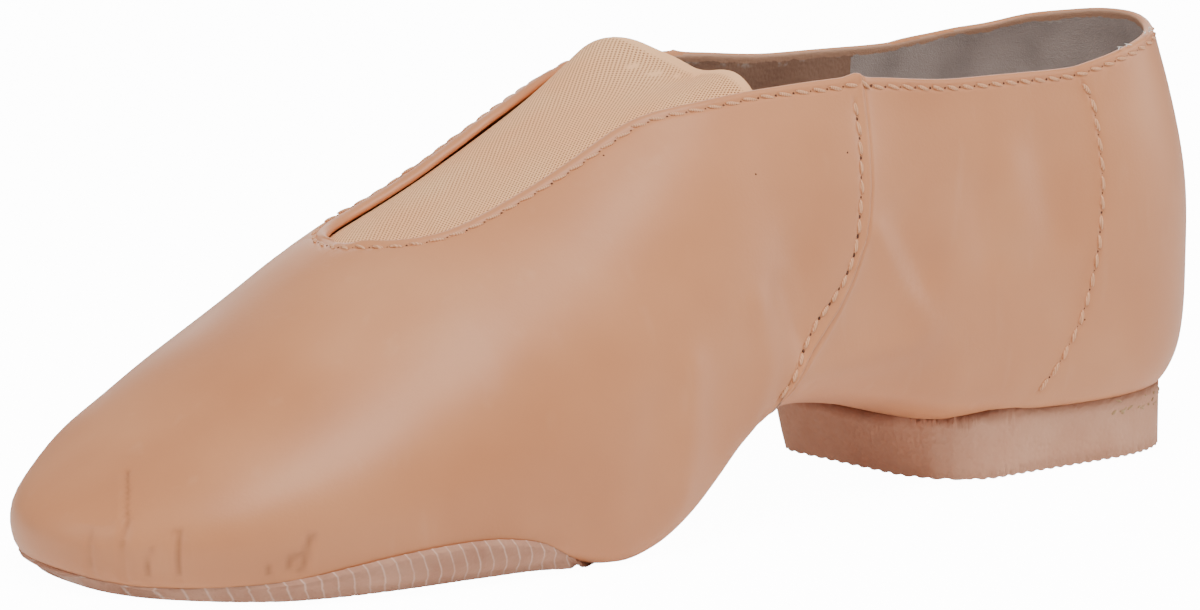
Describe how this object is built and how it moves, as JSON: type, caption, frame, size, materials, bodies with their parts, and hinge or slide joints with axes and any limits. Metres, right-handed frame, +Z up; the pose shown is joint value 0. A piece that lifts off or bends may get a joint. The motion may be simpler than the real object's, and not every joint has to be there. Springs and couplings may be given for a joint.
{
  "type": "jazz shoe",
  "caption": "Slip-on jazz dance shoe for the left foot: soft leather upper with a stretch gore in the throat, split sole and a low heel.",
  "frame": {"origin": "on the floor, under the middle of the heel", "axes": "+X from heel to toe, +Y to the outer side of the foot, +Z up from the floor"},
  "size_m": [0.2352, 0.0817, 0.0778],
  "materials": {
    "upper": "smooth tan leather with a soft sheen",
    "elastic_gore": "ribbed woven elastic, matt",
    "insole": "thin matt sock lining",
    "front_sole": "matt mauve-brown patch with cross grooves",
    "heel": "matt red-brown moulded heel"
  },
  "bodies": {
    "root": {"upper": "upper", "elastic_gore": "elastic_gore", "insole": "insole", "front_sole": "front_sole", "heel": "heel"}
  },
  "joints": []
}
